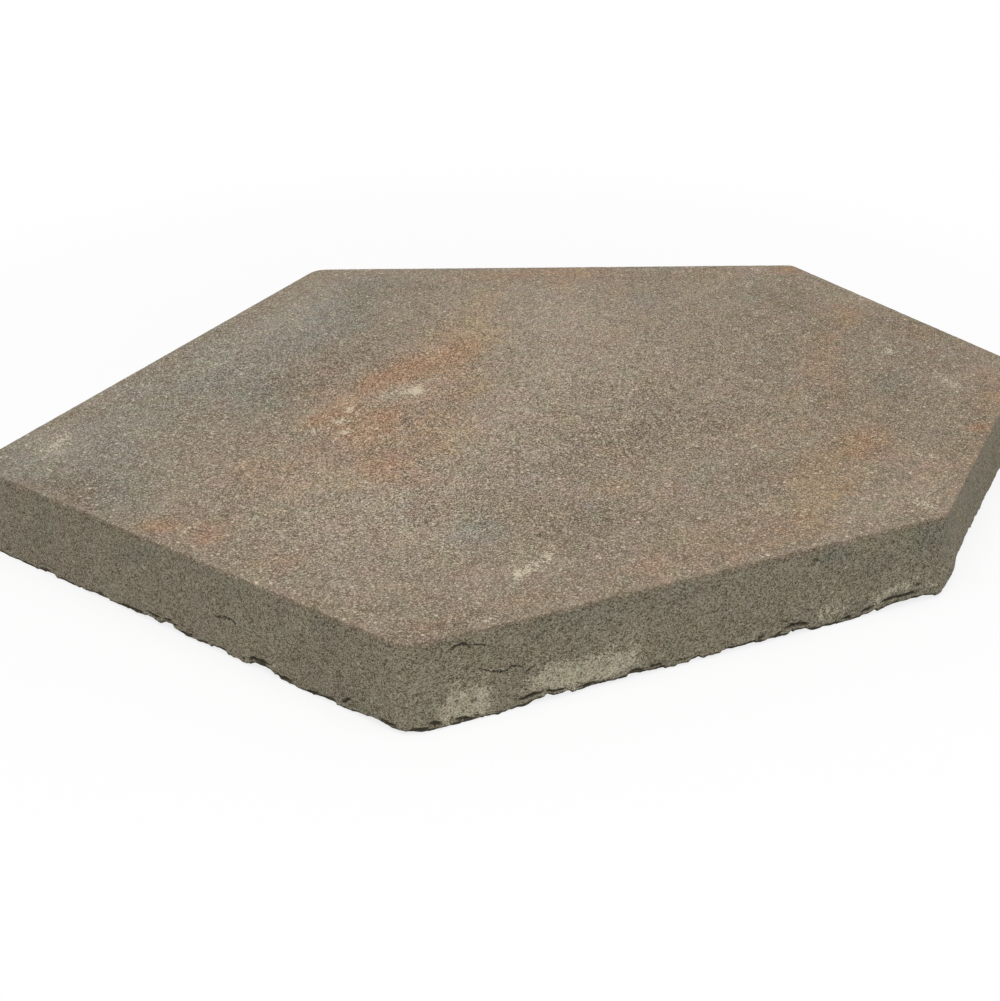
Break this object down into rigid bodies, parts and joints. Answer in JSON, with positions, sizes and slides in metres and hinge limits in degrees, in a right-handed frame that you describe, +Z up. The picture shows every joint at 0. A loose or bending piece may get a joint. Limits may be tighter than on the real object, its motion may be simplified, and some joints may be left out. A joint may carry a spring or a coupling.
{
  "type": "concrete paving stone",
  "caption": "Flat hexagonal concrete paving stone with unequal sides that nest with turned copies of itself, walls that lean out to the foot and a softened top edge.",
  "frame": {"origin": "middle of the bounding box, on the underside", "axes": "+Z up out of the wearing face; +X along the front side, the stone's longest extent; +Y to the back corner"},
  "size_m": [0.533, 0.4082, 0.044],
  "materials": {
    "concrete": "dry-cast concrete with a fine sandy face, taupe with rust and blue-grey clouding"
  },
  "bodies": {
    "root": {"paving_stone": "concrete"}
  },
  "joints": []
}
